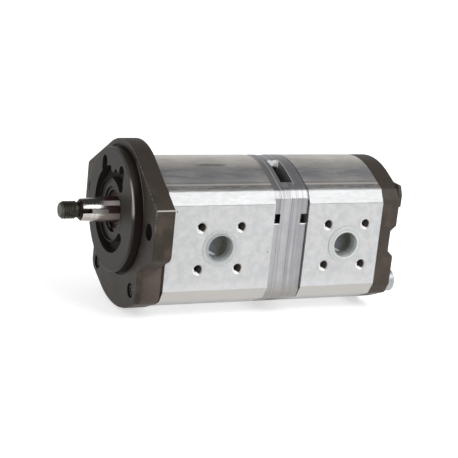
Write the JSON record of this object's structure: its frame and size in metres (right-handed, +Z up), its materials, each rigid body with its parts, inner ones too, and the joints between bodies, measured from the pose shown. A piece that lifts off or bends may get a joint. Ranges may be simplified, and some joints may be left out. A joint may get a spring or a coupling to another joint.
{
  "type": "tandem hydraulic gear pump",
  "caption": "Tandem external gear pump with a cast mounting flange, keyed taper shaft, milled port faces and capped ports.",
  "frame": {"origin": "on the drive shaft's axis, in the plane of the mounting face, midway between the two mounting holes", "axes": "+X along the drive shaft away from the driven machine, so the threaded tip points to -X; the inlets face -Y; +Z points up, from the driven gears to the drive gears"},
  "size_m": [0.2347, 0.1266, 0.1121],
  "materials": {
    "cast_iron_front": "cast skin, machined pilot and mounting face, dark oiled",
    "cast_iron_rear": "cast skin with a dark brown coat",
    "extruded_aluminium": "drawn skin with milled port faces",
    "milled_aluminium": "turned and milled, fine tool lines",
    "bearing_alloy": "fine turned",
    "bronze": "rolled, dull",
    "seal_rubber": "moulded, matt",
    "spring_steel": "phosphated",
    "zinc_plated_steel": "zinc plated, satin",
    "ground_steel": "ground and oiled",
    "key_steel": "drawn, dull",
    "transit_plastic": "translucent, smooth"
  },
  "bodies": {
    "housing": {"front_cover": "cast_iron_front", "shaft_seal": "seal_rubber", "seal_retaining_ring": "spring_steel", "front_housing": "extruded_aluminium", "front_housing_seals": "seal_rubber", "front_bearing_block_outer": "bearing_alloy", "front_bearing_block_inner": "bearing_alloy", "front_bushings": "bronze", "front_axial_seals": "seal_rubber", "mid_section_front": "milled_aluminium", "mid_section_rear": "milled_aluminium", "mid_shaft_seal_front": "seal_rubber", "mid_shaft_seal_rear": "seal_rubber", "rear_housing": "extruded_aluminium", "rear_housing_seals": "seal_rubber", "rear_bearing_block_inner": "bearing_alloy", "rear_bearing_block_outer": "bearing_alloy", "rear_bushings": "bronze", "rear_axial_seals": "seal_rubber", "end_cover": "cast_iron_rear", "tie_bolts_lower": "zinc_plated_steel", "tie_bolts_upper": "zinc_plated_steel", "dowel_sleeves": "zinc_plated_steel"},
    "drive_shaft": {"drive_shaft": "ground_steel", "shaft_key": "key_steel"},
    "claw_driver": {"claw_driver": "key_steel"},
    "rear_drive_gear": {"rear_drive_gear": "ground_steel"},
    "front_driven_gear": {"front_driven_gear": "ground_steel"},
    "rear_driven_gear": {"rear_driven_gear": "ground_steel"},
    "front_inlet_plug": {"front_inlet_plug": "transit_plastic"},
    "rear_inlet_plug": {"rear_inlet_plug": "transit_plastic"},
    "front_outlet_plug": {"front_outlet_plug": "transit_plastic"},
    "rear_outlet_plug": {"rear_outlet_plug": "transit_plastic"}
  },
  "joints": [
    {"name": "drive_shaft_spin", "type": "hinge", "parent": "housing", "child": "drive_shaft", "pos_m": [0, 0, 0], "axis": [1, 0, 0], "continuous": true},
    {"name": "claw_driver_spin", "type": "hinge", "parent": "housing", "child": "claw_driver", "pos_m": [0, 0, 0], "axis": [1, 0, 0], "continuous": true},
    {"name": "rear_drive_gear_spin", "type": "hinge", "parent": "housing", "child": "rear_drive_gear", "pos_m": [0, 0, 0], "axis": [1, 0, 0], "continuous": true},
    {"name": "front_driven_gear_spin", "type": "hinge", "parent": "housing", "child": "front_driven_gear", "pos_m": [0, 0, -0.03], "axis": [1, 0, 0], "continuous": true},
    {"name": "rear_driven_gear_spin", "type": "hinge", "parent": "housing", "child": "rear_driven_gear", "pos_m": [0, 0, -0.03], "axis": [1, 0, 0], "continuous": true},
    {"name": "front_inlet_plug_pull", "type": "slide", "parent": "housing", "child": "front_inlet_plug", "axis": [0, -1, 0], "range_m": [0, 0.015]},
    {"name": "rear_inlet_plug_pull", "type": "slide", "parent": "housing", "child": "rear_inlet_plug", "axis": [0, -1, 0], "range_m": [0, 0.015]},
    {"name": "front_outlet_plug_pull", "type": "slide", "parent": "housing", "child": "front_outlet_plug", "axis": [0, 1, 0], "range_m": [0, 0.015]},
    {"name": "rear_outlet_plug_pull", "type": "slide", "parent": "housing", "child": "rear_outlet_plug", "axis": [0, 1, 0], "range_m": [0, 0.015]}
  ],
  "couplings": [
    {"joint": "claw_driver_spin", "follows": "drive_shaft_spin", "ratio": 1},
    {"joint": "rear_drive_gear_spin", "follows": "drive_shaft_spin", "ratio": 1},
    {"joint": "front_driven_gear_spin", "follows": "drive_shaft_spin", "ratio": -1},
    {"joint": "rear_driven_gear_spin", "follows": "drive_shaft_spin", "ratio": -1}
  ]
}
